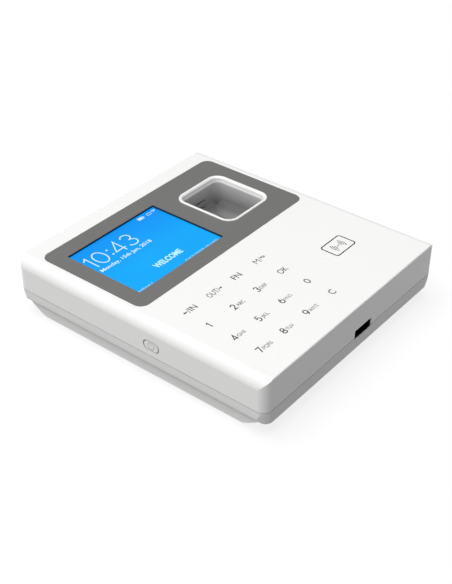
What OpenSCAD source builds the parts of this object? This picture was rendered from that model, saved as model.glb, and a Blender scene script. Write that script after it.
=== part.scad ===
// Time clock terminal, lying face up: keypad, colour screen, fingerprint well, card reader.
// +X runs to the reader's right, +Y towards the screen end, +Z out of the face.
// The origin is the centre of the footprint, on the surface under the rubber feet.

/* [Case] */
// Width of the case
body_w = 130; // [128:0.5:134]
// Length of the case
body_l = 140; // [138:0.5:146]
// Height of the top face above the surface under the feet
top_z = 29.5; // [29:0.1:31]
// Height of the seam between front and rear covers
seam_z = 13.2; // [13:0.1:13.4]
// Underside of the rear cover's rim
rim_z = 6.5; // [6.4:0.1:7]
// Radius of the upright corners
corner_r = 4.2; // [3.5:0.1:5]
// Radius along the two long top edges
long_edge_r = 5; // [3:0.1:5.5]
// Radius along the rim's lower edges
rim_edge_r = 3.6; // [3.2:0.1:3.8]
// Radius of the upright corners at the rim's lower edge
rim_corner_r = 7; // [5.5:0.1:7.5]
// Thickness of the side walls
wall = 2; // [1.8:0.1:2.2]
// Thickness of the top skin
skin = 1.8; // [1.6:0.1:2]

/* [Base] */
// Width of the raised base
base_w = 125.6; // [124:0.2:126]
// Length of the base where it meets the rim
base_top_l = 136; // [134:0.5:136]
// Length of the base at its bottom
base_foot_l = 122; // [121:0.5:124]
// Underside of the base above the surface
base_z = 0.6; // [0.5:0.1:0.8]

/* [Display] */
// Width of the grey panel
panel_w = 117; // [116:0.5:118]
// Length of the grey panel
panel_l = 61.1; // [60:0.1:62]
// Thickness of the grey panel
panel_t = 0.8; // [0.8:0.1:1]
// Width of the screen window
window_w = 57.3; // [56:0.1:58]
// Height of the screen window
window_h = 43.6; // [43:0.1:44]

/* [Fingerprint well] */
// Outer width of the white ring
ring_w = 32.6; // [32:0.1:33]
// Outer length of the white ring
ring_l = 35.6; // [35:0.1:36]
// Width of the white ring, from its outer edge to the grey liner
ring_lip = 2.5; // [2.3:0.1:2.6]
// Height of the ring above the top face
ring_proud = 0.5; // [0.3:0.1:0.5]
// Floor of the well above the surface under the feet
well_floor_z = 12; // [12:0.1:13]

/* [Controls] */
// Length of the power button
button_l = 8.6; // [8.2:0.1:9]
// Height of the power button
button_h = 4.6; // [4.2:0.1:5]
// Travel of the power button
button_travel = 0.5; // [0.3:0.1:0.5]

/* [Wall plate] */
// Width of the steel wall plate
plate_w = 80; // [78:0.5:80]
// Length of the steel wall plate
plate_l = 96; // [94:0.5:96]
// Distance that the plate slides to come off
plate_travel = 8; // [6:0.5:8]
// Distance between the wall screw holes across the plate
wall_hole_x = 52; // [48:1:56]
// Distance between the wall screw holes along the plate
wall_hole_y = 80; // [76:1:82]

/* [Hidden] */
$fn = 48;
cut = 1;                                    // overshoot of a cutting tool
ceiling_z = top_z - skin;
end_r = 0.6;                                // rounding of the two end walls' edges, top and bottom
inner_r = 1.5;                              // rounding inside the covers
seam_gap = 0.3;
rim_corner_grow = 1.2;                      // growth of that radius up to the seam

// Grey panel: its lower edge lies on the case's middle line
panel_y = panel_l / 2;
panel_r = 4.7;
panel_gap = 0.1;
panel_z = top_z - panel_t;

// Screen window and what lies under it
window_x = -21.6;
window_y = 30.5;
aperture_w = window_w + 2.7;                // hole in the top skin, hidden behind the panel
aperture_h = window_h + 2.9;
lens_gap = 0.15;
lens_t = 0.8;
gasket_t = 0.2;
lcd_x = -19.6;
lcd_w = 69.2;
lcd_h = 50;
lcd_t = 2;
lcd_top_z = ceiling_z - gasket_t;
backlight_t = 2;
backlight_z = lcd_top_z - lcd_t - backlight_t;

// Fingerprint well
well_x = 33.7;
well_y = 30.2;
ring_r = 6.3;
ring_depth = 2.5;                           // white lip inside the well
ring_z = top_z + ring_proud;
ring_inset = 0.4;                           // the ring narrows by this below the panel
ring_outer_round = 0.55;
ring_inner_round = 1.5;
cavity_w = ring_w - 2 * ring_lip;
cavity_l = ring_l - 2 * ring_lip;
cavity_r = ring_r - ring_lip;
liner_t = 1.2;
liner_top_z = top_z - ring_depth + 0.1;
liner_floor_r = 6;
sensor_w = 16;
sensor_l = 19;
sensor_t = 1.4;

// Boards
board_t = 1.6;
board_z = 18;
board_top_z = board_z + board_t;
touch_t = 1.2;
touch_z = 26.3;
copper_t = 0.15;
key_x = [-46.4, -29.6, -14.4, 2.2];
key_y = [-15.9, -29, -42.1, -55];
reader_x = 33.9;
reader_y = -36.9;

// Ports
usb_x = 5.5;
usb_z = top_z - 14.9;
usb_w = 12.9;
usb_h = 4.9;
usb_l = 14;
usb_front_y = -body_l / 2 + 0.5;
usb_gap = 0.1;
bay = [[-34, 2], [12, 36]];                 // cable bay, open underneath
bay_ceiling_z = 15.7;
bay_wall = 1.5;
jack_x = -20;
jack_w = 16;
jack_h = 12.5;
jack_l = 21;
dc_x = 5.5;
dc_w = 9;
dc_h = 11;
dc_l = 14;
dc_bore_r = 3.2;
dc_pin_r = 1;
port_y = bay[0][1];                         // both sockets open into the bay at its lower wall
jack_z = board_z - 0.1 - jack_h;
dc_z = board_z - 0.1 - dc_h / 2;
duct_x = -11;
duct_w = 10;
duct_h = 6.4;

// Power button in the left wall
button_y = -10.3;
button_z = top_z - 10.9;
button_gap = 0.2;
button_face_x = -body_w / 2 + 0.05;
flange_x = -body_w / 2 + wall + 0.3;
flange_t = 1;
flange_lip = 1.15;
plunger_tip_x = flange_x + flange_t + 0.1;
switch_x = plunger_tip_x + button_travel + 1.1;
switch_l = 3.6;
plunger_l = 2.6;

// Screws
case_screw_x = 57.5;
case_screw_y = 57;
screw_seat_z = 9;
case_boss_r = 3.2;
counterbore_r = 2.8;
screw_r = 1.4;
pilot_r = 1.15;
posts = [[-49, -57], [49, -57], [-50, 5], [50, 3], [-48, 58], [8, 57]];
post_r = 2.6;

// Base floor, wall plate and feet
base_r = 8;
base_edge_r = 1.2;
floor_z = base_z + 2;
shelf_z = 3.8;                              // floor over the wall plate
recess_z = 1.8;
plate_z = 0.3;
plate_t = 1.2;
plate_y = 8;                                // centre of the plate at rest
plate_gap = 0.6;
hook_x = 37.5;
hook_y = [-30, 48];
hook_t = 1.2;
hook_leg = 4;
hook_nose = 5;
hook_top_z = 5.4;
plate_window = [[-30, 6], [8, 32]];
wall_hole_r = 2.2;
foot_x = 50;
foot_y = 48;
foot_r = 5;
foot_pocket = 1;

// Speaker
speaker_x = 22;
speaker_y = -50;
speaker_r = 10;
speaker_seat_z = 4.6;

// ---- shared shapes ----

// Rounded rectangle, centred
module plan(w, l, r) {
    square([w - 2 * r, l], center = true);
    square([w, l - 2 * r], center = true);
    for (sx = [-1, 1], sy = [-1, 1])
        translate([sx * (w / 2 - r), sy * (l / 2 - r)]) circle(r);
}

// Upright section, centred on its first axis, with its own radius on the upper and lower corners
module section(w, z0, z1, r_top, r_low) {
    translate([-w / 2, z0 + r_low]) square([w, z1 - z0 - r_top - r_low]);
    translate([-w / 2 + r_top, z0 + r_low]) square([w - 2 * r_top, z1 - z0 - r_low]);
    translate([-w / 2 + r_low, z0]) square([w - 2 * r_low, z1 - z0 - r_top]);
    for (s = [-1, 1]) {
        translate([s * (w / 2 - r_top), z1 - r_top]) circle(r_top);
        translate([s * (w / 2 - r_low), z0 + r_low]) circle(r_low);
    }
}

// A section drawn in X and Z, run along Y
module along_y(l) {
    rotate([90, 0, 0]) linear_extrude(l, center = true) children();
}

// A section drawn in Y and Z, run along X
module along_x(l) {
    rotate([90, 0, 90]) linear_extrude(l, center = true) children();
}

module slab(w, l, r, z0, z1) {
    translate([0, 0, z0]) linear_extrude(z1 - z0) plan(w, l, r);
}

// A block between two corners in plan, from z0 to z1
module block(a, b, z0, z1) {
    translate([a[0], a[1], z0]) cube([b[0] - a[0], b[1] - a[1], z1 - z0]);
}

// The case's outer form, or the form of its inside when inset by d
module case_form(d, z0, z1, r_end) {
    intersection() {
        slab(body_w - 2 * d, body_l - 2 * d, corner_r - d, z0, z1);
        along_y(2 * body_l) section(body_w - 2 * d, z0, z1, long_edge_r - d, rim_edge_r);
        along_x(2 * body_w) section(body_l - 2 * d, z0, z1, r_end, r_end);
    }
}

// Bounds the rear cover's rim, inset by d: its four corners are cones that open towards the seam
module rim_form(d) {
    x = body_w / 2 - rim_corner_r;
    y = body_l / 2 - rim_corner_r;
    rise = seam_z + cut - rim_z;
    r = rim_corner_r - d;
    at_corners(x, y) translate([0, 0, rim_z])
        cylinder(r1 = r, r2 = r + rim_corner_grow * rise / (seam_z - rim_z), h = rise);
    block([-body_w, -y], [body_w, y], rim_z, seam_z + cut);
    block([-x, -body_l], [x, body_l], rim_z, seam_z + cut);
}

// The base under the rim from z0 to z1, inset by d: its two ends and four corners flare upwards
module base_form(d, z0, z1) {
    flare = (base_top_l - base_foot_l) / 2 / (rim_z - base_z);
    corner_x = base_w / 2 - base_r;
    corner_y = base_foot_l / 2 - base_r;
    r0 = base_r + flare * (z0 - base_z) - d;
    r1 = base_r + flare * (z1 - base_z) - d;
    intersection() {
        slab(base_w - 2 * d, base_top_l + 2 - 2 * d, 1, z0, z1);
        along_y(2 * body_l) section(base_w - 2 * d, z0, z1 + 4, 1, base_edge_r);
        union() {
            at_corners(corner_x, corner_y) translate([0, 0, z0]) cylinder(r1 = r0, r2 = r1, h = z1 - z0);
            along_x(2 * corner_x) polygon([
                [-corner_y - r0, z0], [corner_y + r0, z0], [corner_y + r1, z1], [-corner_y - r1, z1]
            ]);
            block([-base_w, -corner_y], [base_w, corner_y], z0, z1);
        }
    }
}

// Stadium in Y and Z, run along X from x0 to x1
module stadium(l, h, x0, x1) {
    translate([(x0 + x1) / 2, button_y, button_z]) along_x(x1 - x0) {
        square([l - h, h], center = true);
        for (s = [-1, 1]) translate([s * (l - h) / 2, 0]) circle(h / 2);
    }
}

module at_corners(x, y) {
    for (sx = [-1, 1], sy = [-1, 1]) translate([sx * x, sy * y, 0]) children();
}

module tube(r, z0, z1) {
    translate([0, 0, z0]) cylinder(r = r, h = z1 - z0);
}

// ---- covers ----

module front_cover() {
    color("white") difference() {
        union() {
            difference() {
                intersection() {
                    case_form(0, rim_z, top_z, end_r);
                    block([-body_w, -body_l], [body_w, body_l], seam_z + seam_gap, top_z + cut);
                }
                intersection() {
                    case_form(wall, rim_z, ceiling_z, inner_r);
                    block([-body_w, -body_l], [body_w, body_l], rim_z, ceiling_z);
                }
            }
            at_corners(case_screw_x, case_screw_y) tube(case_boss_r, seam_z + seam_gap, ceiling_z + 0.5);
        }
        translate([0, panel_y, 0])
            slab(panel_w + 2 * panel_gap, panel_l + 2 * panel_gap, panel_r, panel_z, top_z + cut);
        translate([window_x, window_y, 0])
            slab(aperture_w, aperture_h, 1.5, ceiling_z - cut, top_z);
        translate([well_x, well_y, 0])
            slab(ring_w - 0.6, ring_l - 0.6, ring_r - 0.3, ceiling_z - cut, top_z);
        at_corners(case_screw_x, case_screw_y) tube(pilot_r, seam_z - cut, ceiling_z - 3);
        usb_opening();
        stadium(button_l + 2 * button_gap, button_h + 2 * button_gap, -body_w / 2 - cut,
            -body_w / 2 + wall + cut);
    }
}

module usb_opening() {
    translate([usb_x, -body_l / 2, usb_z])
        cube([usb_w + 2 * usb_gap, 4 * wall, usb_h + 2 * usb_gap], center = true);
}

module rear_cover() {
    color("whitesmoke") difference() {
        union() {
            rear_shell();
            plate_shelf();
            at_corners(case_screw_x, case_screw_y) tube(case_boss_r + 0.9, floor_z - 0.6, seam_z + 0.1);
            for (p = posts) translate([p[0], p[1], 0]) tube(post_r, floor_z - 0.5, board_z);
            block(bay[0] - [bay_wall, bay_wall], bay[1] + [bay_wall, bay_wall],
                recess_z, bay_ceiling_z + bay_wall);
            intersection() {
                block([duct_x - duct_w / 2 - bay_wall, bay[1][1]],
                    [duct_x + duct_w / 2 + bay_wall, base_top_l / 2], recess_z, duct_h + bay_wall);
                base_form(wall / 4, base_z, duct_h + bay_wall);
            }
            translate([speaker_x, speaker_y, 0]) tube(speaker_r + 1.2, floor_z - 0.5, speaker_seat_z + 1.6);
            locating_lip();
        }
        plate_recess();
        at_corners(case_screw_x, case_screw_y) {
            tube(counterbore_r, -cut, screw_seat_z);
            tube(screw_r + 0.15, -cut, seam_z + cut);
        }
        for (p = posts) translate([p[0], p[1], 0]) tube(pilot_r, board_z - 8, board_z + cut);
        block(bay[0], bay[1], -cut, bay_ceiling_z);
        block([duct_x - duct_w / 2, bay[1][1] - cut], [duct_x + duct_w / 2, body_l], -cut, duct_h);
        socket_openings();
        at_corners(foot_x, foot_y) tube(foot_r + 0.1, -cut, base_z + foot_pocket);
        translate([speaker_x, speaker_y, 0]) {
            tube(speaker_r + 0.15, speaker_seat_z, seam_z);
            tube(speaker_r - 1.4, floor_z, seam_z);
            for (i = [-3:3]) translate([i * 2.6, -5, floor_z - 1]) cube([1.2, 6, 8], center = true);
        }
        usb_opening();
    }
}

module rear_shell() {
    difference() {
        union() {
            intersection() {
                case_form(0, rim_z, top_z, end_r);
                rim_form(0);
                block([-body_w, -body_l], [body_w, body_l], rim_z, seam_z);
            }
            base_form(0, base_z, rim_z + 0.4);
        }
        intersection() {
            translate([0, 0, wall]) case_form(wall, rim_z, top_z, inner_r);
            rim_form(wall);
            block([-body_w, -body_l], [body_w, body_l], rim_z + wall, seam_z + cut);
        }
        base_form(wall, floor_z, rim_z + wall + 0.1);
    }
}

// Tongue on the rear cover that seats inside the front cover's walls
module locating_lip() {
    lip_in = wall + 0.1;
    difference() {
        slab(body_w - 2 * lip_in, body_l - 2 * lip_in, corner_r - lip_in, seam_z - 2.5, seam_z + 1.4);
        slab(body_w - 2 * lip_in - 2.2, body_l - 2 * lip_in - 2.2, 1, seam_z - 2.6, seam_z + 2);
        translate([-body_w / 2 + wall, button_y, seam_z + 1]) cube([6, 16, 2], center = true);
    }
}

// Raised floor over the wall plate
module plate_shelf() {
    a = [-plate_w / 2 - plate_gap - 2, plate_y - plate_l / 2 - plate_travel - plate_gap - 1.4];
    b = [plate_w / 2 + plate_gap + 2, plate_y + plate_l / 2 + plate_gap + 1.4];
    block(a, b, base_z, shelf_z);
}

module plate_recess() {
    block([-plate_w / 2 - plate_gap, plate_y - plate_l / 2 - plate_travel - plate_gap],
        [plate_w / 2 + plate_gap, plate_y + plate_l / 2 + plate_gap], -cut, recess_z);
    for (s = [-1, 1], y = hook_y)
        block([s * hook_x - hook_t / 2 - 0.5, y - hook_leg / 2 - plate_travel - 0.6],
            [s * hook_x + hook_t / 2 + 0.5, y + hook_leg / 2 + 0.6], -cut, shelf_z + cut);
}

module socket_openings() {
    block([jack_x - jack_w / 2 - 0.2, port_y - bay_wall - 0.1], [jack_x + jack_w / 2 + 0.2, port_y + 0.1],
        jack_z - 0.2, board_z);
    block([dc_x - dc_w / 2 - 0.2, port_y - bay_wall - 0.1], [dc_x + dc_w / 2 + 0.2, port_y + 0.1],
        board_z - 0.3 - dc_h, board_z);
}

// ---- display ----

module display_panel() {
    color("dimgray") difference() {
        translate([0, panel_y, 0]) slab(panel_w, panel_l, panel_r, panel_z, top_z);
        translate([window_x, window_y, 0]) slab(window_w, window_h, 0.4, panel_z - cut, top_z + cut);
        translate([well_x, well_y, 0]) slab(ring_w + 0.1, ring_l + 0.1, ring_r, panel_z - cut, top_z + cut);
    }
}

module display_lens() {
    color("lightblue", 0.3) translate([window_x, window_y, 0])
        slab(window_w - 2 * lens_gap, window_h - 2 * lens_gap, 0.4, lcd_top_z + 0.05,
            lcd_top_z + 0.05 + lens_t);
}

// Black foam frame: a flange under the skin and a lip that lines the window down to the glass
module lcd_gasket() {
    color("black") difference() {
        union() {
            translate([lcd_x, window_y, 0]) slab(lcd_w, lcd_h, 0.5, lcd_top_z, ceiling_z);
            translate([window_x, window_y, 0])
                slab(aperture_w - 0.2, aperture_h - 0.2, 1.4, lcd_top_z, panel_z);
        }
        translate([window_x, window_y, 0]) slab(window_w, window_h, 0.4, 0, top_z);
    }
}

module lcd_glass() {
    color("dodgerblue") translate([lcd_x, window_y, 0])
        slab(lcd_w, lcd_h, 0.5, lcd_top_z - lcd_t, lcd_top_z);
}

module lcd_backlight() {
    color("silver") difference() {
        translate([lcd_x, window_y, 0])
            slab(lcd_w, lcd_h, 0.5, backlight_z, lcd_top_z - lcd_t);
        translate([lcd_x, window_y, 0])
            slab(lcd_w - 6, lcd_h - 6, 0.5, backlight_z - cut, backlight_z + 0.4);
    }
}

// A flat cable's section in Y and Z: across, then down
module ribbon_section(y_far, y_near, z_high, z_low, t) {
    polygon([
        [y_far, z_high], [y_near, z_high], [y_near, z_low],
        [y_near + t, z_low], [y_near + t, z_high - t], [y_far, z_high - t]
    ]);
}

// Socket that takes a flat cable
module ribbon_socket(x, y, z0, w) {
    translate([x, y, z0 + 0.6]) cube([w, 3.2, 1.2], center = true);
}

module lcd_ribbon() {
    color("orange") {
        translate([lcd_x, 0, 0]) along_x(20)
            ribbon_section(14, 1, backlight_z, board_top_z + 1.2, 0.3);
        ribbon_socket(lcd_x, 1.2, board_top_z, 24);
    }
}

// ---- fingerprint well ----

// Section of the ring: rounded crown that flares down into the well; X is 0 at the outer edge
module ring_section() {
    low_z = top_z - ring_depth;
    round_z = ring_z - ring_inner_round;
    flat_x = -ring_outer_round - 0.05;
    translate([-ring_outer_round, ring_z - ring_outer_round]) circle(ring_outer_round);
    intersection() {
        translate([flat_x, round_z]) circle(ring_inner_round);
        translate([flat_x - ring_lip, round_z]) square(ring_lip);
    }
    polygon([[flat_x, round_z], [flat_x, ring_z], [-ring_outer_round, ring_z],
        [-ring_outer_round, ring_z - ring_outer_round], [0, ring_z - ring_outer_round],
        [0, panel_z], [-ring_inset, panel_z], [-ring_inset, low_z], [-ring_lip, low_z],
        [-ring_lip, low_z + 0.5], [flat_x - ring_inner_round, round_z]]);
}

// The section swept round the four corners, straight bars between, and a skirt round the liner
module sensor_bezel() {
    color("white") translate([well_x, well_y, 0]) {
        for (sx = [-1, 1], sy = [-1, 1])
            translate([sx * (ring_w / 2 - ring_r), sy * (ring_l / 2 - ring_r), 0])
                rotate([0, 0, sx > 0 ? (sy > 0 ? 0 : 270) : (sy > 0 ? 90 : 180)])
                    rotate_extrude(angle = 90) translate([ring_r, 0]) ring_section();
        for (turn = [0, 180]) rotate([0, 0, turn])
            along_y(ring_l - 2 * ring_r) translate([ring_w / 2, 0]) ring_section();
        for (turn = [90, 270]) rotate([0, 0, turn])
            along_y(ring_w - 2 * ring_r) translate([ring_l / 2, 0]) ring_section();
        difference() {
            slab(ring_w - 2 * ring_inset, ring_l - 2 * ring_inset, ring_r - ring_inset,
                top_z - ring_depth - 2, top_z - ring_depth + 0.3);
            slab(cavity_w, cavity_l, cavity_r, 0, top_z);
            slab(cavity_w + 0.9, cavity_l + 0.9, cavity_r + 0.45, 0, top_z - ring_depth);
        }
    }
}

module well_form(d, z0, z1) {
    floor_r = liner_floor_r + d;
    intersection() {
        slab(cavity_w + 2 * d, cavity_l + 2 * d, cavity_r + d, z0, z1);
        along_y(2 * body_l) section(cavity_w + 2 * d, z0, z1 + 9, 0.5, floor_r);
        along_x(2 * body_w) section(cavity_l + 2 * d, z0, z1 + 9, 0.5, floor_r);
    }
}

module sensor_well() {
    color("gray") translate([well_x, well_y, 0]) difference() {
        union() {
            well_form(liner_t, well_floor_z - liner_t, liner_top_z - 2.2);
            slab(cavity_w + 0.8, cavity_l + 0.8, cavity_r + 0.4, liner_top_z - 8, liner_top_z - 0.1);
        }
        well_form(0, well_floor_z, liner_top_z + cut);
        cube([sensor_w, sensor_l, 4 * well_floor_z], center = true);
        for (i = [0, 1]) finger_stop_slot(i);
    }
}

// Two slots through the far wall of the well
module finger_stop_slot(i) {
    slot_right = 4.6 - 0.2 * i;
    slot_w = 11;
    slot_z = top_z - 9.1 - 3.8 * i;
    translate([slot_right - slot_w, cavity_l / 2 - cut, slot_z - 0.5]) cube([slot_w, 4 * liner_t, 1]);
}

module sensor_glass() {
    color("black") translate([well_x, well_y, 0])
        slab(sensor_w - 0.2, sensor_l - 0.2, 0.6, well_floor_z - sensor_t, well_floor_z - 0.2);
}

module sensor_module() {
    color("dimgray") translate([well_x, well_y, 0])
        slab(sensor_w + 4, sensor_l + 4, 1, 7.4, well_floor_z - sensor_t);
}

module sensor_board() {
    color("green") translate([well_x, well_y, 0]) slab(sensor_w + 8, sensor_l + 6, 1, 6.2, 7.4);
}

module sensor_cable() {
    color("ivory") {
        translate([well_x, 0, 0]) along_x(8) polygon([
            [18.4, 7.7], [11, 7.7], [11, board_top_z + 1.2], [6.5, board_top_z + 1.2],
            [6.5, board_top_z + 0.9], [10.7, board_top_z + 0.9], [10.7, 7.4], [18.4, 7.4]
        ]);
        ribbon_socket(well_x, 5.2, board_top_z, 10);
    }
}

// ---- touch keypad and card reader ----

module touch_board() {
    color("green") block([-54, -64], [11, -6], touch_z, touch_z + touch_t);
}

module touch_pads() {
    color("peru") for (x = key_x, y = key_y)
        translate([x, y, 0]) tube(5, touch_z + touch_t, touch_z + touch_t + copper_t);
}

module touch_ribbon() {
    color("orange") {
        translate([-24, 0, 0]) along_x(12) polygon([
            [-9, touch_z], [-4.4, touch_z], [-4.4, board_top_z + 1.2], [-4.7, board_top_z + 1.2],
            [-4.7, touch_z - 0.3], [-9, touch_z - 0.3]
        ]);
        ribbon_socket(-24, -5, board_top_z, 14);
    }
}

module card_reader_board() {
    color("green") block([reader_x - 20, reader_y - 24], [reader_x + 20, reader_y + 24],
        touch_z, touch_z + touch_t);
}

// Flat spiral of copper: four nested turns
module card_reader_coil() {
    color("peru") translate([reader_x, reader_y, 0]) for (i = [0:3]) difference() {
        slab(37 - 3 * i, 45 - 3 * i, 3 - 0.5 * i, touch_z + touch_t, touch_z + touch_t + copper_t);
        slab(35.4 - 3 * i, 43.4 - 3 * i, 2.2 - 0.5 * i, touch_z, ceiling_z);
    }
}

module card_reader_lead() {
    color("firebrick") {
        for (s = [-1, 1]) translate([reader_x + 1.2 * s, -57, 0]) tube(0.5, board_top_z + 3, touch_z);
        translate([reader_x, -57, board_top_z + 1.5]) cube([6, 4, 3], center = true);
    }
}

// ---- main board ----

module main_board() {
    color("darkgreen") difference() {
        union() {
            block([-54, -67], [14.5, 64], board_z, board_top_z);
            block([-54, -67], [54, 8], board_z, board_top_z);
            block([-60.5, button_y - 6], [-54, button_y + 6], board_z, board_top_z);
        }
        for (p = posts) translate([p[0], p[1], 0]) tube(1.6, board_z - cut, board_top_z + cut);
        block([-62, button_y - 3.6], [switch_x + switch_l + 0.1, button_y + 3.6], board_z - cut,
            board_top_z + cut);
    }
}

module main_chips() {
    color("black") {
        block([-30, -36], [-16, -22], board_top_z, board_top_z + 1.2);
        block([-8, -36], [2, -23], board_top_z, board_top_z + 1);
        block([-48, -34], [-40, -26], board_top_z, board_top_z + 0.9);
        block([-46, 34], [-34, 41], board_top_z, board_top_z + 2);
        block([-10, 40], [0, 46], board_top_z, board_top_z + 1.6);
        block([14, -56], [20, -50], board_top_z, board_top_z + 1.6);
    }
}

module radio_shield() {
    color("silver") translate([-36, 18, 0]) difference() {
        slab(20, 15, 1, board_top_z, board_top_z + 2.4);
        slab(19.4, 14.4, 0.7, board_top_z - cut, board_top_z + 2.1);
    }
}

module cell_holder() {
    color("black") translate([36, -22, 0]) difference() {
        tube(11.4, board_top_z, board_top_z + 3);
        tube(10.15, board_top_z + 0.6, board_top_z + 4);
    }
}

module coin_cell() {
    color("silver") translate([36, -22, 0]) {
        tube(10, board_top_z + 0.6, board_top_z + 3.4);
        tube(8.6, board_top_z + 3.4, board_top_z + 3.8);
    }
}

// ---- speaker ----

module speaker_frame() {
    color("dimgray") translate([speaker_x, speaker_y, 0]) difference() {
        tube(speaker_r, speaker_seat_z, speaker_seat_z + 2.4);
        tube(speaker_r - 1.4, speaker_seat_z - cut, speaker_seat_z + 1.6);
        tube(5, speaker_seat_z - cut, speaker_seat_z + 3);
    }
}

module speaker_cone() {
    color("black") translate([speaker_x, speaker_y, speaker_seat_z + 0.3]) rotate_extrude()
        polygon([[0, 1.1], [3, 1.1], [8.4, 0], [8.4, 0.3], [3, 1.3], [0, 1.3]]);
}

module speaker_magnet() {
    color("silver") translate([speaker_x, speaker_y, 0]) {
        tube(6.5, speaker_seat_z + 2.4, speaker_seat_z + 4.8);
        tube(4.9, speaker_seat_z + 1.7, speaker_seat_z + 2.4);
    }
}

// ---- ports ----

module usb_shell() {
    shell_t = 0.15;
    color("silver") translate([usb_x, usb_front_y + usb_l / 2, usb_z]) difference() {
        cube([usb_w, usb_l, usb_h], center = true);
        translate([0, -shell_t, 0]) cube([usb_w - 2 * shell_t, usb_l, usb_h - 2 * shell_t], center = true);
    }
}

module usb_tongue() {
    color("black") {
        block([usb_x - 5.55, usb_front_y + 1.2], [usb_x + 5.55, usb_front_y + usb_l - 2],
            usb_z + 0.2, usb_z + 1.8);
        block([usb_x - 6.25, usb_front_y + usb_l - 3], [usb_x + 6.25, usb_front_y + usb_l - 0.35],
            usb_z - 2.25, usb_z + 2.25);
    }
}

module usb_contacts() {
    color("gold") for (i = [-1.5:1:1.5])
        block([usb_x + 2.3 * i - 0.5, usb_front_y + 2], [usb_x + 2.3 * i + 0.5, usb_front_y + 9],
            usb_z + 0.05, usb_z + 0.2);
}

// Eight-way network socket: a plug opening with its latch slot underneath
module ethernet_jack() {
    color("silver") difference() {
        block([jack_x - jack_w / 2, port_y - jack_l], [jack_x + jack_w / 2, port_y], jack_z, jack_z + jack_h);
        block([jack_x - 5.9, port_y - 14], [jack_x + 5.9, port_y + cut], jack_z + 3.4, jack_z + 10.4);
        block([jack_x - 3, port_y - 14], [jack_x + 3, port_y + cut], jack_z + 1.2, jack_z + 3.5);
    }
}

module ethernet_contacts() {
    color("gold") for (i = [-3.5:3.5])
        block([jack_x + 1.02 * i - 0.2, port_y - 12], [jack_x + 1.02 * i + 0.2, port_y - 4],
            jack_z + 9.9, jack_z + 10.4);
}

module dc_jack() {
    color("black") difference() {
        block([dc_x - dc_w / 2, port_y - dc_l], [dc_x + dc_w / 2, port_y], dc_z - dc_h / 2, dc_z + dc_h / 2);
        translate([dc_x, port_y + cut, dc_z]) rotate([90, 0, 0]) cylinder(r = dc_bore_r, h = 10 + cut);
    }
}

module dc_pin() {
    color("silver") translate([dc_x, port_y - 1, dc_z]) rotate([90, 0, 0]) cylinder(r = dc_pin_r, h = 9);
}

// ---- power button ----

module power_button() {
    color("white") {
        stadium(button_l, button_h, button_face_x, flange_x);
        stadium(button_l + 2 * flange_lip, button_h + 2 * flange_lip, flange_x, flange_x + flange_t);
    }
}

module power_switch() {
    color("black") difference() {
        block([switch_x, button_y - 3.3], [switch_x + switch_l, button_y + 3.3],
            button_z - 1.8, button_z + 1.8);
        stadium(3.3, 1.8, switch_x - cut, switch_x + 1.8);
    }
}

module switch_plunger() {
    color("ivory") stadium(3, 1.5, plunger_tip_x, plunger_tip_x + plunger_l);
}

// ---- fasteners, wall plate and feet ----

module case_screws() {
    color("silver") at_corners(case_screw_x, case_screw_y) difference() {
        union() {
            tube(2.6, screw_seat_z - 1.9, screw_seat_z);
            tube(pilot_r, screw_seat_z - 0.1, screw_seat_z + 14);
        }
        translate([0, 0, screw_seat_z - 2]) {
            cube([2.8, 0.7, 2], center = true);
            cube([0.7, 2.8, 2], center = true);
        }
    }
}

module board_screws() {
    color("silver") for (p = posts) translate([p[0], p[1], 0]) difference() {
        union() {
            tube(2.4, board_top_z, board_top_z + 1.6);
            tube(pilot_r, board_z - 6, board_top_z + 0.1);
        }
        translate([0, 0, board_top_z + 1.6]) {
            cube([2.6, 0.7, 1.6], center = true);
            cube([0.7, 2.6, 1.6], center = true);
        }
    }
}

module wall_plate() {
    color("lightgray") {
        difference() {
            translate([0, plate_y, 0]) slab(plate_w, plate_l, 4, plate_z, plate_z + plate_t);
            block(plate_window[0], plate_window[1], -cut, plate_z + plate_t + cut);
            translate([0, plate_y, 0]) at_corners(wall_hole_x / 2, wall_hole_y / 2)
                tube(wall_hole_r, -cut, plate_z + plate_t + cut);
        }
        for (s = [-1, 1], y = hook_y) translate([s * hook_x, y, 0]) along_x(hook_t) polygon([
            [-hook_leg / 2, plate_z + plate_t / 2],
            [hook_leg / 2, plate_z + plate_t / 2],
            [hook_leg / 2, hook_top_z - 1.2],
            [hook_leg / 2 + hook_nose, hook_top_z - 1.2],
            [hook_leg / 2 + hook_nose, hook_top_z],
            [-hook_leg / 2, hook_top_z]
        ]);
    }
}

module rubber_feet() {
    color("black") at_corners(foot_x, foot_y) rotate_extrude() polygon([
        [0, 0], [foot_r - 0.6, 0], [foot_r - 0.1, 0.5], [foot_r, base_z], [foot_r, base_z + foot_pocket],
        [0, base_z + foot_pocket]
    ]);
}

front_cover();
rear_cover();
display_panel();
display_lens();
lcd_gasket();
lcd_glass();
lcd_backlight();
lcd_ribbon();
sensor_bezel();
sensor_well();
sensor_glass();
sensor_module();
sensor_board();
sensor_cable();
touch_board();
touch_pads();
touch_ribbon();
card_reader_board();
card_reader_coil();
card_reader_lead();
main_board();
main_chips();
radio_shield();
cell_holder();
coin_cell();
speaker_frame();
speaker_cone();
speaker_magnet();
usb_shell();
usb_tongue();
usb_contacts();
ethernet_jack();
ethernet_contacts();
dc_jack();
dc_pin();
power_button();
power_switch();
switch_plunger();
case_screws();
board_screws();
wall_plate();
rubber_feet();
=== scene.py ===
"""Time clock terminal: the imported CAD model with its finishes, legends, lit screen and studio."""
import math
from functools import cache

import bmesh
import bpy
from mathutils import Matrix, Vector


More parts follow.
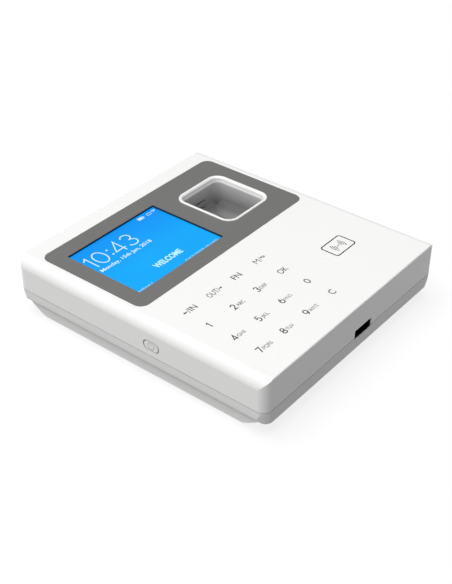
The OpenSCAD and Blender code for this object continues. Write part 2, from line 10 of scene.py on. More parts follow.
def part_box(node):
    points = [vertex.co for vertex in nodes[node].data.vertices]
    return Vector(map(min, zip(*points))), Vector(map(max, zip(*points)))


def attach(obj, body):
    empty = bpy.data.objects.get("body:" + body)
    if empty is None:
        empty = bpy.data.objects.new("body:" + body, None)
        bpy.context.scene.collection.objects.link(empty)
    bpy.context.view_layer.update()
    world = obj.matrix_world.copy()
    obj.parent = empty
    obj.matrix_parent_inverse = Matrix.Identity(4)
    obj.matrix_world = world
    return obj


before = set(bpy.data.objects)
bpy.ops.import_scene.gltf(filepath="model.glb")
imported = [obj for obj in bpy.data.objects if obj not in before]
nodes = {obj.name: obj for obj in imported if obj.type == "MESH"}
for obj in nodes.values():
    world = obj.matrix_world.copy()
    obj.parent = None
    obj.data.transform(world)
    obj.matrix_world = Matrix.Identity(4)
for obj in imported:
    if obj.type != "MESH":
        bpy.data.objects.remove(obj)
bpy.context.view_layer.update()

MM = 0.001
PRINT = 0.02 * MM       # thickness of printed ink, also of the painted shade lines on the button
LENS_GAP = 0.15 * MM    # between the lens and the window's edge
SEAM_LIP = 0.35 * MM    # height of the painted shade on the lip under the seam
RIM_Z = 7.1 * MM        # middle of the painted shade on the turn between the rim and the base
FACE_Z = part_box("front_cover")[1].z                 # keypad face
SEAM_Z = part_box("front_cover")[0].z                 # seam between the two shells
FILM_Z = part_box("display_lens")[1].z + 0.01 * MM    # underside of the picture film on the lens
WINDOW = (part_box("display_lens")[0] - Vector((1, 1, 0)) * LENS_GAP,
          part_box("display_lens")[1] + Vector((1, 1, 0)) * LENS_GAP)

# Printed faces: height and material slot
KEYPAD = (FACE_Z, "white_case")
FILM = (FILM_Z, "screen")
SCREEN = (FILM_Z + PRINT, "screen")


# ---- studio: camera, lamp, surroundings, floor ----

LENS = 67.78
CAMERA_AT = Vector((-327.3, -256.8, 304.9)) * MM
CAMERA_RIGHT = Vector((0.62266, -0.78247, 0.00610))
CAMERA_UP = Vector((0.45391, 0.36753, 0.81172))
LAMP_AT = Vector((-0.40, 0.3, 2.2))
LAMP_SIDE = 2.2
LAMP_POWER = 50
BRIGHT_WAY = (-0.90, 0.54, 0.22)    # where the surroundings are brightest
DIMMEST, BRIGHTEST = 0.02, 0.62     # brightness of the surroundings
FLOOR_HALF = 6
BACKDROP_REACH = 5                  # above and below the floor
FLOOR_LIT, BACKDROP_LIT = 0.80, 0.86


def add_object(name, data):
    made = bpy.data.objects.new(name, data)
    bpy.context.scene.collection.objects.link(made)
    return made


def make_camera():
    """Camera over the lower left corner, looking at the keypad's upper end."""
    data = bpy.data.cameras.new("camera")
    data.lens = LENS
    data.clip_start = 0.02
    data.clip_end = 50
    camera = add_object("camera", data)
    back = CAMERA_RIGHT.cross(CAMERA_UP)
    turn = Matrix((CAMERA_RIGHT, CAMERA_UP, back)).transposed().to_4x4()
    camera.matrix_world = Matrix.Translation(CAMERA_AT) @ turn
    bpy.context.scene.camera = camera


def make_lamp():
    """One large soft square lamp overhead, aimed at the object."""
    data = bpy.data.lights.new("overhead", "AREA")
    data.shape = "SQUARE"
    data.size = LAMP_SIDE
    data.energy = LAMP_POWER
    lamp = add_object("overhead", data)
    lamp.location = LAMP_AT
    lamp.rotation_euler = (-LAMP_AT).to_track_quat("-Z", "Y").to_euler()


def make_world():
    """Pale surroundings, brightest towards -X."""
    world = bpy.data.worlds.new("studio")
    bpy.context.scene.world = world
    world.use_nodes = True
    tree = world.node_tree
    coords = tree.nodes.new("ShaderNodeTexCoord")
    aim = tree.nodes.new("ShaderNodeVectorMath")
    aim.operation = "DOT_PRODUCT"
    aim.inputs[1].default_value = BRIGHT_WAY
    spread = tree.nodes.new("ShaderNodeMapRange")
    spread.inputs["From Min"].default_value = -1.0
    spread.inputs["From Max"].default_value = 1.0
    spread.inputs["To Min"].default_value = DIMMEST
    spread.inputs["To Max"].default_value = BRIGHTEST
    tree.links.new(coords.outputs["Generated"], aim.inputs[0])
    tree.links.new(aim.outputs["Value"], spread.inputs["Value"])
    tree.links.new(spread.outputs["Result"], tree.nodes["Background"].inputs["Color"])


def stage_piece(name, points, faces, lit):
    """A sheet of the studio, which isn't part of the object."""
    mesh = bpy.data.meshes.new(name)
    mesh.from_pydata(points, [], faces)
    mesh.materials.append(lit_paper(f"{name}_paper", lit))
    return add_object(name, mesh)


def make_studio():
    """Camera, lamp and surroundings, a floor, and pale walls round the floor's edge."""
    make_camera()
    make_world()
    make_lamp()
    bpy.context.scene.view_settings.view_transform = "Standard"
    square = [(sx * FLOOR_HALF, sy * FLOOR_HALF) for sx, sy in ((-1, -1), (1, -1), (1, 1), (-1, 1))]
    floor = stage_piece("floor", [(x, y, 0) for x, y in square], [(0, 1, 2, 3)], FLOOR_LIT)
    floor.visible_diffuse = False
    edges = [(x, y, z) for z in (-BACKDROP_REACH, BACKDROP_REACH) for x, y in square]
    walls = [(i, (i + 1) % 4, (i + 1) % 4 + 4, i + 4) for i in range(4)]
    backdrop = stage_piece("backdrop", edges, walls, BACKDROP_LIT)
    for kind in ("diffuse", "glossy", "transmission", "shadow"):
        setattr(backdrop, f"visible_{kind}", False)    # seen by the camera, changes no light


# ---- materials ----

def shade(colour, factor):
    return tuple(min(1.0, c * factor) for c in colour)


class Shader:
    """A Principled material whose textures are laid out in the object's own metres."""

    def __init__(self, name):
        self.material = bpy.data.materials.new(name)
        self.material.use_nodes = True
        self.tree = self.material.node_tree
        self.principled = self.tree.nodes["Principled BSDF"]
        self.coords = self.node("ShaderNodeTexCoord").outputs["Object"]

    def node(self, kind, **settings):
        made = self.tree.nodes.new(kind)
        for key, value in settings.items():
            setattr(made, key, value)
        return made

    def link(self, a, b):
        self.tree.links.new(a, b)

    def set(self, **values):
        """Constants on the shader's own sockets."""
        for key, value in values.items():
            self.principled.inputs[key.replace("_", " ")].default_value = value

    def colour(self, socket):
        self.link(socket, self.principled.inputs["Base Color"])

    def emission(self, socket):
        self.link(socket, self.principled.inputs["Emission Color"])

    def roughness(self, socket):
        self.link(socket, self.principled.inputs["Roughness"])

    def bump(self, height, strength, distance):
        made = self.node("ShaderNodeBump")
        made.inputs["Strength"].default_value = strength
        made.inputs["Distance"].default_value = distance
        self.link(height, made.inputs["Height"])
        self.link(made.outputs["Normal"], self.principled.inputs["Normal"])

    def axes(self):
        """The X, Y and Z of each point, by name."""
        made = self.node("ShaderNodeSeparateXYZ")
        self.link(self.coords, made.inputs[0])
        return made.outputs

    def math(self, operation, *values):
        """A Math node's result; each value is a socket or a number."""
        made = self.node("ShaderNodeMath", operation=operation)
        for socket, value in zip(made.inputs, values):
            if isinstance(value, bpy.types.NodeSocket):
                self.link(value, socket)
            else:
                socket.default_value = value
        return made.outputs[0]

    def noise(self, scale, detail, stretch=None):
        source = self.coords
        if stretch:
            mapping = self.node("ShaderNodeMapping")
            mapping.inputs["Scale"].default_value = stretch
            self.link(source, mapping.inputs["Vector"])
            source = mapping.outputs["Vector"]
        made = self.node("ShaderNodeTexNoise")
        made.inputs["Scale"].default_value = scale
        made.inputs["Detail"].default_value = detail
        self.link(source, made.inputs["Vector"])
        return made.outputs["Fac"]

    def spread(self, value, low, high, start=0.3, end=0.7):
        """Maps start to end onto low to high; the defaults suit a noise texture."""
        made = self.node("ShaderNodeMapRange")
        made.inputs["From Min"].default_value = start
        made.inputs["From Max"].default_value = end
        made.inputs["To Min"].default_value = low
        made.inputs["To Max"].default_value = high
        self.link(value, made.inputs["Value"])
        return made.outputs["Result"]

    def blend(self, factor, first, second):
        """From the first colour at 0 to the second at 1; each is a socket or a tuple."""
        made = self.node("ShaderNodeMix", data_type="RGBA")
        self.link(factor, made.inputs["Factor"])
        for socket, colour in ((made.inputs["A"], first), (made.inputs["B"], second)):
            if isinstance(colour, tuple):
                socket.default_value = (*colour, 1)
            else:
                self.link(colour, socket)
        return made.outputs["Result"]

    def within(self, value, low, high):
        """1 where low < value < high, else 0."""
        return self.math("MULTIPLY", self.math("GREATER_THAN", value, low),
                         self.math("LESS_THAN", value, high))

    def far_from(self, value, middle, near, far):
        """0 within near of the middle, rising to 1 at far."""
        distance = self.math("ABSOLUTE", self.math("SUBTRACT", value, middle))
        return self.spread(distance, 0, 1, near, far)

    def mottled(self, scale, detail, first, second):
        """Colour that wanders between two colours."""
        return self.blend(self.spread(self.noise(scale, detail), 0, 1), first, second)

    def uneven_sheen(self, scale, detail, low, high):
        """Roughness that wanders between two values."""
        self.roughness(self.spread(self.noise(scale, detail), low, high))

    def clouded(self, colour):
        """The very faint clouding of moulded plastic."""
        return self.mottled(18, 2, shade(colour, 0.994), shade(colour, 1.003))

    def mould_grain(self, strength):
        """The fine even grain of a mould."""
        self.bump(self.noise(6000, 1), strength, 0.002 * MM)


PLASTIC_IOR = 1.49


def plastic(name, colour, roughness=0.3, grain=0.3, coat=0.0):
    """Moulded plastic: very faint clouding in the colour and sheen, fine even mould grain."""
    s = Shader(name)
    s.colour(s.clouded(colour))
    s.uneven_sheen(30, 2, roughness * 0.95, roughness * 1.06)
    if grain:
        s.mould_grain(grain)
    s.set(Coat_Weight=coat, Coat_Roughness=0.12, IOR=PLASTIC_IOR)
    return s.material


def rear_plastic():
    """White lower shell, with painted shade on the seam's lip and where the long sides turn under.
    """
    white = (0.80, 0.80, 0.793)
    seam_painted_shade = (0.66, 0.66, 0.655)
    s = Shader("white_gloss_rear")
    axes = s.axes()
    # painted shade on the long sides where they turn under the rim; the end walls are left unshaded
    off_the_turn = s.far_from(axes["Z"], RIM_Z, 0.7 * MM, 2.1 * MM)
    at_an_end_wall = s.far_from(axes["Y"], 0.0, 60 * MM, 68 * MM)
    lit = s.math("MAXIMUM", off_the_turn, at_an_end_wall)
    shell = s.blend(lit, shade(white, 0.80), s.clouded(white))
    # painted shade on the lip under the seam, where the gap is in shadow
    in_seam_painted_shade = s.within(axes["Z"], SEAM_Z - SEAM_LIP, SEAM_Z + SEAM_LIP / 3)
    s.colour(s.blend(in_seam_painted_shade, shell, seam_painted_shade))
    s.uneven_sheen(30, 2, 0.32, 0.36)
    s.mould_grain(0.3)
    s.set(IOR=PLASTIC_IOR)
    return s.material


def lit_paper(name, lit):
    """White sweep that is partly lit from below, so that shadows on it stay faint."""
    s = Shader(name)
    s.colour(s.blend(s.noise(30, 3), (0.19, 0.19, 0.19), (0.21, 0.21, 0.21)))
    s.set(Roughness=0.9, Specular_IOR_Level=0.1, Emission_Color=(1, 1, 1, 1),
          Emission_Strength=lit)
    return s.material


def graded_liner():
    """Grey moulding of the fingerprint well, with painted shade: paler at its mouth, darker towards
    its floor.
    """
    s = Shader("grey_liner")
    # painted shade, deepening towards the well's floor
    rise = s.spread(s.axes()["Z"], 0, 1, FACE_Z - 15 * MM, FACE_Z - 2 * MM)
    s.colour(s.blend(rise, (0.20, 0.20, 0.202), (0.74, 0.74, 0.742)))
    s.uneven_sheen(400, 3, 0.45, 0.6)
    s.bump(s.noise(2600, 2), 0.3, 0.01 * MM)
    return s.material


def brushed(name, colour, roughness=0.32):
    """Rolled or brushed metal with fine scratches across Y."""
    s = Shader(name)
    streak = s.noise(900, 4, (1, 14, 1))
    s.colour(s.blend(s.spread(streak, 0, 1), shade(colour, 0.86), shade(colour, 1.1)))
    s.roughness(s.spread(streak, roughness * 0.75, roughness * 1.35))
    s.bump(streak, 0.25, 0.01 * MM)
    s.set(Metallic=1.0)
    return s.material


def spangled(name, colour):
    """Galvanised sheet: large soft crystals with a little dulling between them."""
    s = Shader(name)
    crystal = s.node("ShaderNodeTexVoronoi")
    crystal.inputs["Scale"].default_value = 260
    s.link(s.coords, crystal.inputs["Vector"])
    distance = crystal.outputs["Distance"]
    s.colour(s.blend(s.spread(distance, 0, 1, 0, 0.7), shade(colour, 0.92), shade(colour, 1.08)))
    s.roughness(s.spread(distance, 0.28, 0.5, 0, 0.8))
    s.bump(s.noise(1500, 3), 0.15, 0.01 * MM)
    s.set(Metallic=1.0)
    return s.material


def circuit_board(name, colour):
    """Solder mask over copper tracks, which show as slightly lighter raised bands."""
    s = Shader(name)
    tracks = s.node("ShaderNodeTexBrick")
    tracks.offset = 0.35
    tracks.inputs["Scale"].default_value = 120
    tracks.inputs["Mortar Size"].default_value = 0.035
    tracks.inputs["Color1"].default_value = (0.1, 0.1, 0.1, 1)
    tracks.inputs["Color2"].default_value = (0.35, 0.35, 0.35, 1)
    tracks.inputs["Mortar"].default_value = (1, 1, 1, 1)
    s.link(s.coords, tracks.inputs["Vector"])
    s.colour(s.blend(tracks.outputs["Color"], colour, shade(colour, 2.0)))
    s.uneven_sheen(600, 3, 0.25, 0.42)
    s.bump(tracks.outputs["Color"], 0.3, 0.03 * MM)
    s.set(Coat_Weight=0.3)
    return s.material


def rubber(name, colour):
    s = Shader(name)
    s.colour(s.mottled(200, 4, shade(colour, 0.8), shade(colour, 1.5)))
    s.uneven_sheen(500, 3, 0.7, 0.9)
    s.bump(s.noise(4000, 2), 0.5, 0.02 * MM)
    return s.material


def ink(name, colour):
    """Screen-printed ink: nearly flat, with the faint mottling of a squeegee print. Also used for
    painted shade lines.
    """
    s = Shader(name)
    s.colour(s.mottled(2500, 3, shade(colour, 0.85), shade(colour, 1.2)))
    s.set(Roughness=0.45)
    return s.material


def glow(name, colour, strength):
    """Lit pixels of the screen."""
    s = Shader(name)
    s.emission(s.mottled(9000, 1, shade(colour, 0.96), colour))
    s.set(Base_Color=(0, 0, 0, 1), Emission_Strength=strength, Roughness=0.3,
          Specular_IOR_Level=0.1)
    return s.material


def lens_material():
    """Clear acrylic over the screen, faintly clouded by handling."""
    s = Shader("clear_acrylic")
    s.colour(s.mottled(80, 4, (0.97, 0.98, 1.0), (1, 1, 1)))
    s.uneven_sheen(220, 5, 0.02, 0.06)
    s.set(Transmission_Weight=1.0, IOR=1.12)
    return s.material


def picture_material():
    """Lit blue wallpaper, deeper towards the top of the screen."""
    s = Shader("screen_picture")
    top = WINDOW[1].y
    rise = s.spread(s.axes()["Y"], 0, 1, top - 26 * MM, top)
    sky = s.blend(rise, (0.004, 0.415, 0.98), (0.002, 0.31, 0.95))
    deep = s.blend(rise, (0.003, 0.385, 0.97), (0.001, 0.295, 0.94))
    s.emission(s.mottled(28, 2, sky, deep))
    s.set(Base_Color=(0.002, 0.002, 0.002, 1), Emission_Strength=1.0, Roughness=0.3,
          Specular_IOR_Level=0.12)
    return s.material


def panel_material():
    """Grey satin panel whose window edge is painted black."""
    grey = (0.155, 0.154, 0.148)
    black = (0.02, 0.022, 0.03)
    margin = 0.05 * MM
    s = Shader("grey_satin_panel")
    axes = s.axes()
    low, high = WINDOW
    inside_x = s.within(axes["X"], low.x - margin, high.x + margin)
    inside_y = s.within(axes["Y"], low.y - margin, high.y + margin)
    below_face = s.within(axes["Z"], 0.0, FACE_Z - 0.04 * MM)
    painted = s.math("MULTIPLY", s.math("MULTIPLY", inside_x, inside_y), below_face)
    s.colour(s.blend(painted, s.mottled(60, 4, shade(grey, 0.98), shade(grey, 1.02)), black))
    s.uneven_sheen(300, 4, 0.42, 0.55)
    s.bump(s.noise(2600, 2), 0.2, 0.008 * MM)
    return s.material


# ---- flat prints: text and line symbols, laid out in millimetres ----

MITRE_LIMIT = 0.35    # least cosine used at a bend, which keeps a sharp corner short


def mesh_piece(name, mesh, material, body):
    piece = add_object(name, mesh)
    piece.data.materials.clear()
    piece.data.materials.append(material)
    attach(piece, body)


def text_mesh(name, words, weight):
    """Lettering of unit size and unit thickness."""
    data = bpy.data.curves.new(name, "FONT")
    data.body = words
    data.offset = weight
    data.extrude = 0.5
    data.resolution_u = 6
    text = add_object(name, data)
    bpy.context.view_layer.update()
    graph = bpy.context.evaluated_depsgraph_get()
    mesh = bpy.data.meshes.new_from_object(text.evaluated_get(graph))
    mesh.name = name
    bpy.data.objects.remove(text)
    return mesh


@cache
def text_cap(weight):
    """Height of a capital letter in lettering of unit size."""
    mesh = text_mesh("probe", "H", weight)
    top = max(v.co.y for v in mesh.vertices)
    bpy.data.meshes.remove(mesh)
    return top


def print_text(name, words, left, middle, width, height, face, material, weight=0.0):
    """Flat lettering, from its left edge, middle height, width and cap height."""
    z, slot = face
    mesh = text_mesh(name, words, weight)
    xs = [v.co.x for v in mesh.vertices]
    start = min(xs)
    cap = text_cap(weight)
    wide = width / (max(xs) - start)
    tall = height / cap
    for v in mesh.vertices:
        flat = Vector(((v.co.x - start) * wide + left, (v.co.y - cap / 2) * tall + middle, 0))
        v.co = flat * MM + Vector((0, 0, z + (PRINT if v.co.z > 0 else 0)))
    mesh_piece(name, mesh, material, "case")


def arc(cx, cy, rx, ry, start, end, steps=24):
    """Points on an ellipse's arc, angles in degrees."""
    turns = [math.radians(start + (end - start) * i / steps) for i in range(steps + 1)]
    return [(cx + rx * math.cos(t), cy + ry * math.sin(t)) for t in turns]


def rounded_outline(cx, cy, w, h, r):
    """A closed rounded rectangle."""
    corners = [(1, 1, 0), (-1, 1, 90), (-1, -1, 180), (1, -1, 270)]
    points = []
    for sx, sy, start in corners:
        points += arc(cx + sx * (w / 2 - r), cy + sy * (h / 2 - r), r, r, start, start + 90, 8)
    return points + points[:1]


def add_band(build, path, half):
    """A band of unit thickness along a path, closed if the path ends where it starts."""
    closed = (path[0] - path[-1]).length < 1e-6
    if closed:
        path = path[:-1]
    count = len(path)
    left, right = [], []
    for i, point in enumerate(path):
        before = path[i - 1] if i or closed else point
        after = path[(i + 1) % count] if i < count - 1 or closed else point
        into = (point - before).normalized() if (point - before).length else None
        out = (after - point).normalized() if (after - point).length else None
        way = ((into or out) + (out or into)).normalized()
        side = Vector((-way.y, way.x))
        square_on = Vector((-(out or into).y, (out or into).x))
        reach = half / max(MITRE_LIMIT, side.dot(square_on))
        left.append(point + side * reach)
        right.append(point - side * reach)
    low, high = [[[build.verts.new((p.x, p.y, z)) for p in edge] for edge in (left, right)]
                 for z in (0, 1)]
    for i in range(count if closed else count - 1):
        j = (i + 1) % count
        build.faces.new((high[0][i], high[1][i], high[1][j], high[0][j]))
        build.faces.new((low[0][j], low[1][j], low[1][i], low[0][i]))
        build.faces.new((low[0][i], high[0][i], high[0][j], low[0][j]))
        build.faces.new((high[1][i], low[1][i], low[1][j], high[1][j]))
    if not closed:
        build.faces.new((low[0][0], low[1][0], high[1][0], high[0][0]))
        build.faces.new((high[0][-1], high[1][-1], low[1][-1], low[0][-1]))


def add_plate(build, outline):
    """A filled shape of unit thickness."""
    high = [build.verts.new((x, y, 1)) for x, y in outline]
    low = [build.verts.new((x, y, 0)) for x, y in outline]
    build.faces.new(high)
    build.faces.new(low[::-1])
    for i in range(len(outline)):
        j = (i + 1) % len(outline)
        build.faces.new((low[i], low[j], high[j], high[i]))


def symbol_mesh(name, paths, width, plates, place):
    """Bands of one width along the paths, and filled plates, each point moved by place."""
    build = bmesh.new()
    for path in paths:
        add_band(build, [Vector(p) for p in path], width / 2)
    for outline in plates:
        add_plate(build, outline)
    bmesh.ops.recalc_face_normals(build, faces=build.faces)
    for v in build.verts:
        v.co = place(v.co)
    mesh = bpy.data.meshes.new(name)
    build.to_mesh(mesh)
    build.free()
    return mesh


def print_lines(name, face, material, paths=(), width=0.0, plates=()):
    """Line symbol on a horizontal face, with any filled shapes."""
    z, slot = face
    mesh = symbol_mesh(name, paths, width, plates,
                       lambda p: Vector((p.x * MM, p.y * MM, z + p.z * PRINT)))
    mesh_piece(name, mesh, material, "case")


# ---- numerals of even stroke ----

# Centre lines of each digit in a box one unit high
NUMERALS = {
    "0": [arc(0.33, 0.5, 0.33, 0.5, 0, 360, 48)],
    "1": [[(0.0, 0.80), (0.22, 1.0), (0.22, 0.0)]],
    "2": [arc(0.31, 0.70, 0.30, 0.30, 165, -38, 20) + [(0.02, 0.0), (0.63, 0.0)]],
    "3": [arc(0.30, 0.755, 0.27, 0.245, 160, -90, 28)
          + arc(0.30, 0.255, 0.30, 0.255, 90, -160, 28)],
    "4": [[(0.66, 0.24), (0.0, 0.24), (0.5, 1.0), (0.5, 0.0)]],
    "5": [[(0.56, 1.0), (0.12, 1.0), (0.07, 0.55)] + arc(0.29, 0.33, 0.31, 0.33, 130, -145, 26)],
    "6": [arc(0.32, 0.33, 0.31, 0.33, 0, 360, 40), arc(0.56, 0.33, 0.55, 0.68, 180, 108, 12)],
    "7": [[(0.0, 1.0), (0.62, 1.0), (0.22, 0.0)]],
    "8": [arc(0.31, 0.745, 0.26, 0.255, 0, 360, 36), arc(0.31, 0.245, 0.31, 0.245, 0, 360, 40)],
    "9": [arc(0.31, 0.67, 0.31, 0.33, 0, 360, 40), arc(0.07, 0.67, 0.55, 0.68, 0, -72, 12)],
}


def print_numeral(name, digit, left, middle, height, line, face, material):
    paths = [[(left + x * height, middle + (y - 0.5) * height) for x, y in path]
             for path in NUMERALS[digit]]
    print_lines(name, face, material, paths, line)


# ---- keypad ----

KEY_LEFT = [-50.4, -34.2, -18.0]
KEY_ROWS = [-29.0, -42.1, -55.0]
TOP_ROW = -15.9
LETTERS = ["", "ABC", "DEF", "GHI", "JKL", "MNO", "PQRS", "TUV", "WXYZ"]
DIGIT_HEIGHT, DIGIT_LINE = 3.3, 0.52
LETTER_HEIGHT = 1.9
LETTER_WIDTH, WIDE_LETTER_WIDTH = 1.38, 1.5


def arrow(tip_x, tail_x, y, size):
    """Outline of a small solid arrow along X."""
    way = 1 if tip_x > tail_x else -1
    neck = tip_x - way * size * 1.15
    bar = size * 0.26
    return [(tip_x, y), (neck, y + size * 0.75), (neck, y + bar), (tail_x, y + bar),
            (tail_x, y - bar), (neck, y - bar), (neck, y - size * 0.75)][::way]


def print_digit_keys(digit_ink, letter_ink):
    """Keys 1 to 9 with their letters."""
    for i, letters in enumerate(LETTERS):
        x, y = KEY_LEFT[i % 3], KEY_ROWS[i // 3]
        digit = str(i + 1)
        inset = 0.6 if digit == "1" else 0.0
        print_numeral(f"legend_{digit}", digit, x + inset, y, DIGIT_HEIGHT, DIGIT_LINE, KEYPAD,
                      digit_ink)
        if letters:
            pitch = WIDE_LETTER_WIDTH if letters in ("ABC", "MNO") else LETTER_WIDTH
            weight = -0.008 if letters == "MNO" else 0.004
            print_text(f"legend_{letters}", letters, x + 2.75, y - 0.45, pitch * len(letters) + 0.2,
                       LETTER_HEIGHT, KEYPAD, letter_ink, weight)


def print_keypad():
    dark = ink("ink_dark", (0.028, 0.028, 0.027))
    pale = ink("ink_pale", (0.10, 0.10, 0.097))
    grey = ink("ink_grey", (0.045, 0.045, 0.044))
    y = TOP_ROW
    print_digit_keys(dark, pale)
    print_text("legend_OK", "OK", -0.9, KEY_ROWS[0] + 0.1, 5.5, 3.2, KEYPAD, grey, 0.004)
    print_numeral("legend_0", "0", 0.9, KEY_ROWS[1], 3.1, 0.48, KEYPAD, grey)
    print_text("legend_C", "C", 0.7, KEY_ROWS[2], 2.7, 3.4, KEYPAD, grey, 0.006)
    print_lines("legend_in_arrow", KEYPAD, dark, plates=[arrow(-50.4, -47.9, y, 1.0)])
    print_text("legend_IN", "/IN", -47.9, y, 5.4, 3.1, KEYPAD, grey, 0.003)
    print_text("legend_OUT", "OUT/", -34.3, y, 7.3, 3.1, KEYPAD, grey, 0.002)
    print_lines("legend_out_arrow", KEYPAD, dark, plates=[arrow(-24.7, -26.9, y, 0.9)])
    print_text("legend_FN", "FN", -17.2, y, 5.2, 3.2, KEYPAD, grey, 0.004)
    print_text("legend_M", "M/", -1.4, y, 4.7, 3.1, KEYPAD, grey, -0.008)
    hook = [(3.9, y + 0.5)] + arc(5.0, y + 0.1, 0.75, 0.4, 90, -90, 10) + [(4.4, y - 0.3)]
    head = [(4.3, y - 0.2), (4.3, y + 1.2), (3.3, y + 0.5)]
    print_lines("legend_back_arrow", KEYPAD, grey, [hook], 0.4, [head])


def print_card_symbol():
    """Outline of a card, with waves to the left and right inside it."""
    grey = ink("ink_symbol", (0.024, 0.024, 0.023))
    cx, cy = 33.9, -36.9
    print_lines("card_symbol_frame", KEYPAD, grey, [rounded_outline(cx, cy, 14.6, 9.7, 1.4)], 0.62)
    waves = []
    for reach, half_angle in ((1.9, 32), (2.9, 38), (3.9, 42)):
        tall = reach * 1.05
        waves.append(arc(cx + 0.1, cy, reach, tall, 180 - half_angle, 180 + half_angle, 8))
        waves.append(arc(cx - 0.1, cy, reach, tall, -half_angle, half_angle, 8))
    waves.append([(cx - 0.9, cy), (cx + 0.9, cy)])
    print_lines("card_symbol_waves", KEYPAD, grey, waves, 0.36)


# ---- screen picture ----

CLOCK_HEIGHT, CLOCK_LINE, CLOCK_MIDDLE = 9.4, 0.62, 41.55
CLOCK_DIGITS = [("1", -47.97), ("0", -43.4), ("4", -32.4), ("3", -24.4)]
ICON_LINE = 0.25
ICON_Y = 49.75
FOOT_Y, FOOT_HEIGHT = 10.3, 1.2


def print_film():
    """Picture film on the lens: fills the window and carries the lit picture."""
    low, high = WINDOW
    gap = LENS_GAP / 3
    x0, y0 = (low.x + gap) / MM, (low.y + gap) / MM
    x1, y1 = (high.x - gap) / MM, (high.y - gap) / MM
    print_lines("screen_film", FILM, picture_material(),
                plates=[[(x0, y0), (x1, y0), (x1, y1), (x0, y1)]])


def print_clock(white):
    """The time in thin round numerals."""
    for place, (digit, left) in enumerate(CLOCK_DIGITS):
        print_numeral(f"screen_time_{place}_{digit}", digit, left, CLOCK_MIDDLE, CLOCK_HEIGHT,
                      CLOCK_LINE, SCREEN, white)
    dots = [arc(-34.4, CLOCK_MIDDLE + up, 0.55, 0.55, 0, 330, 11) for up in (-2.5, 1.9)]
    print_lines("screen_time_colon", SCREEN, white, plates=dots)


def print_status_icons(white):
    """Battery, link and wireless icons in the screen's upper right corner."""
    y = ICON_Y
    x = -4.4
    battery = rounded_outline(x, y, 3.4, 1.9, 0.3)
    filling = [(x - 1.4, y - 0.65), (x + 1.2, y - 0.65), (x + 1.2, y + 0.65), (x - 1.4, y + 0.65)]
    tip = [(x + 1.8, y - 0.4), (x + 2.3, y - 0.4), (x + 2.3, y + 0.4), (x + 1.8, y + 0.4)]
    print_lines("screen_battery", SCREEN, white, [battery], ICON_LINE, [filling, tip])
    x = 1.2
    link = [rounded_outline(x, y - 0.2, 2.6, 1.4, 0.3), [(x, y + 0.5), (x, y + 1.0)]]
    print_lines("screen_link", SCREEN, white, link, ICON_LINE)
    waves = [arc(4.7, y - 0.9, r, r, 45, 135, 8) for r in (0.7, 1.3, 1.9)]
    print_lines("screen_wireless", SCREEN, white, waves, ICON_LINE)


def print_screen():
    welcome = glow("screen_welcome", (0.60, 0.97, 0.97), 1.0)
    white = glow("screen_white", (0.72, 0.95, 1.0), 0.95)
    bright = glow("screen_bright", (0.80, 0.98, 1.0), 1.0)
    soft = glow("screen_soft", (0.45, 0.82, 1.0), 0.9)
    print_film()
    print_clock(white)
    print_status_icons(white)
    print_text("screen_date", "Monday, 15th Jan, 2018", -47.9, 33.75, 32.6, 2.1, SCREEN, bright,
               0.009)
    print_text("screen_menu", "MENU", -49.0, FOOT_Y, 8.6, FOOT_HEIGHT, SCREEN, soft)
    print_text("screen_prompt", "PLACE FINGER OR CARD", -17.8, FOOT_Y, 22.6, FOOT_HEIGHT, SCREEN,
               soft)
    print_text("screen_welcome", "WELCOME", -30.4, 17.7, 17.6, 3.4, SCREEN, welcome, 0.03)


# ---- print and painted shade on the side button ----

POWER_SYMBOL_R = 1.7
CAP_FLANGE = 1.15     # hidden flange round the cap, inside the case
EDGE_INSET = 0.1      # from the cap's outline to the middle of the painted shade round its edge
# widths of the painted shade lines round the cap and at its two ends
EDGE_LINE, END_LINE = 0.15, 0.26


def mark_on_button(name, paths, width, material):
    """Lines on the button's outer face, which looks along -X, measured from its centre."""
    low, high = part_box("power_button")
    cy = (low.y + high.y) / 2
    cz = (low.z + high.z) / 2
    mesh = symbol_mesh(name, paths, width, (),
                       lambda p: Vector((low.x - p.z * PRINT, cy - p.x * MM, cz + p.y * MM)))
    mesh_piece(name, mesh, material, "power_button")


def mark_button():
    """Power symbol, and painted shade round the edge of the oval cap, darkest round its two ends.
    """
    low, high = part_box("power_button")
    length = (high.y - low.y) / MM - 2 * CAP_FLANGE
    height = (high.z - low.z) / MM - 2 * CAP_FLANGE
    ring = arc(0, 0, POWER_SYMBOL_R, POWER_SYMBOL_R, 125, 415, 28)
    bar = [(0, 0.5), (0, POWER_SYMBOL_R + 0.3)]
    mark_on_button("power_symbol", [ring, bar], 0.34, ink("ink_button", (0.47, 0.47, 0.47)))
    # painted shade: a dark line round the cap, where its gap to the case is in shadow
    edge = ink("button_edge_painted_shade", (0.16, 0.16, 0.16))
    r = height / 2 - EDGE_INSET
    outline = rounded_outline(0, 0, length - 2 * EDGE_INSET, height - 2 * EDGE_INSET, r - 0.01)
    mark_on_button("button_edge", [outline], EDGE_LINE, edge)
    r -= 0.12
    reach = length / 2 - height / 2
    ends = [arc(reach, 0, r, r, -55, 55), arc(-reach, 0, r, r, 125, 235)]
    mark_on_button("button_ends", ends, END_LINE, edge)


# ---- finishes of the CAD nodes ----

def dress(material, *names):
    for name in names:
        slots = nodes[name].data.materials
        slots.clear()
        slots.append(material)


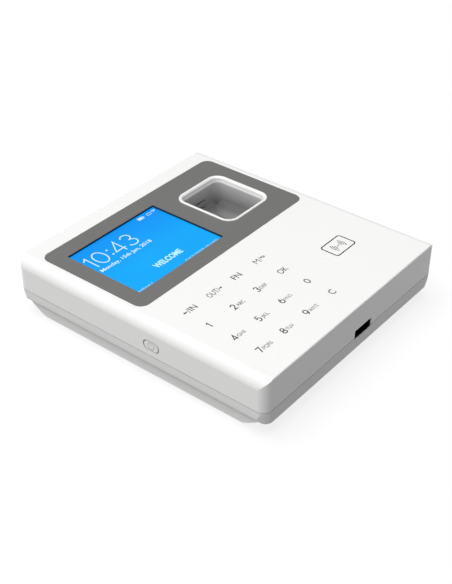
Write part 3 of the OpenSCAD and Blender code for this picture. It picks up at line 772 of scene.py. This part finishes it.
def dress_nodes():
    dress(plastic("white_gloss_case", (0.900, 0.900, 0.893), 0.26, coat=0.15), "front_cover")
    dress(rear_plastic(), "rear_cover")
    dress(plastic("white_ring", (0.905, 0.905, 0.90), 0.2, coat=0.2), "sensor_bezel")
    dress(plastic("white_button", (0.89, 0.89, 0.885), 0.28), "power_button")
    dress(panel_material(), "display_panel")
    dress(plastic("dark_glass", (0.006, 0.006, 0.008), 0.12, grain=0.0), "lcd_glass")
    dress(lens_material(), "display_lens")
    dress(graded_liner(), "sensor_well")
    dress(plastic("sensor_window", (0.012, 0.012, 0.016), 0.08, grain=0.0, coat=1.0),
          "sensor_glass")
    dress(rubber("black_foam", (0.012, 0.012, 0.013)), "lcd_gasket")
    dress(rubber("black_rubber", (0.02, 0.02, 0.02)), "rubber_feet")
    dress(circuit_board("green_board", (0.008, 0.09, 0.035)), "main_board", "touch_board",
          "card_reader_board", "sensor_board")
    dress(brushed("steel_parts", (0.62, 0.62, 0.63)), "lcd_backlight", "radio_shield", "coin_cell",
          "speaker_magnet", "ethernet_jack", "dc_pin")
    dress(brushed("black_nickel", (0.05, 0.05, 0.052)), "usb_shell")
    dress(brushed("copper_parts", (0.80, 0.44, 0.25)), "touch_pads", "card_reader_coil")
    dress(brushed("gold_contacts", (0.90, 0.68, 0.30), 0.25), "usb_contacts", "ethernet_contacts")
    dress(brushed("screw_steel", (0.50, 0.50, 0.51), 0.28), "case_screws", "board_screws")
    dress(spangled("galvanised_plate", (0.60, 0.61, 0.62)), "wall_plate")
    dress(plastic("black_parts", (0.015, 0.015, 0.016), 0.45, grain=0.6), "usb_tongue", "dc_jack",
          "power_switch", "main_chips", "cell_holder", "speaker_frame", "sensor_module")
    dress(rubber("black_paper_cone", (0.02, 0.02, 0.02)), "speaker_cone")
    dress(plastic("polyimide_film", (0.42, 0.19, 0.03), 0.3), "lcd_ribbon", "touch_ribbon")
    dress(plastic("flat_cable", (0.75, 0.75, 0.71), 0.4), "sensor_cable", "switch_plunger")
    dress(plastic("red_wire", (0.50, 0.03, 0.02), 0.4), "card_reader_lead")


make_studio()
dress_nodes()
print_keypad()
print_card_symbol()
print_screen()
mark_button()
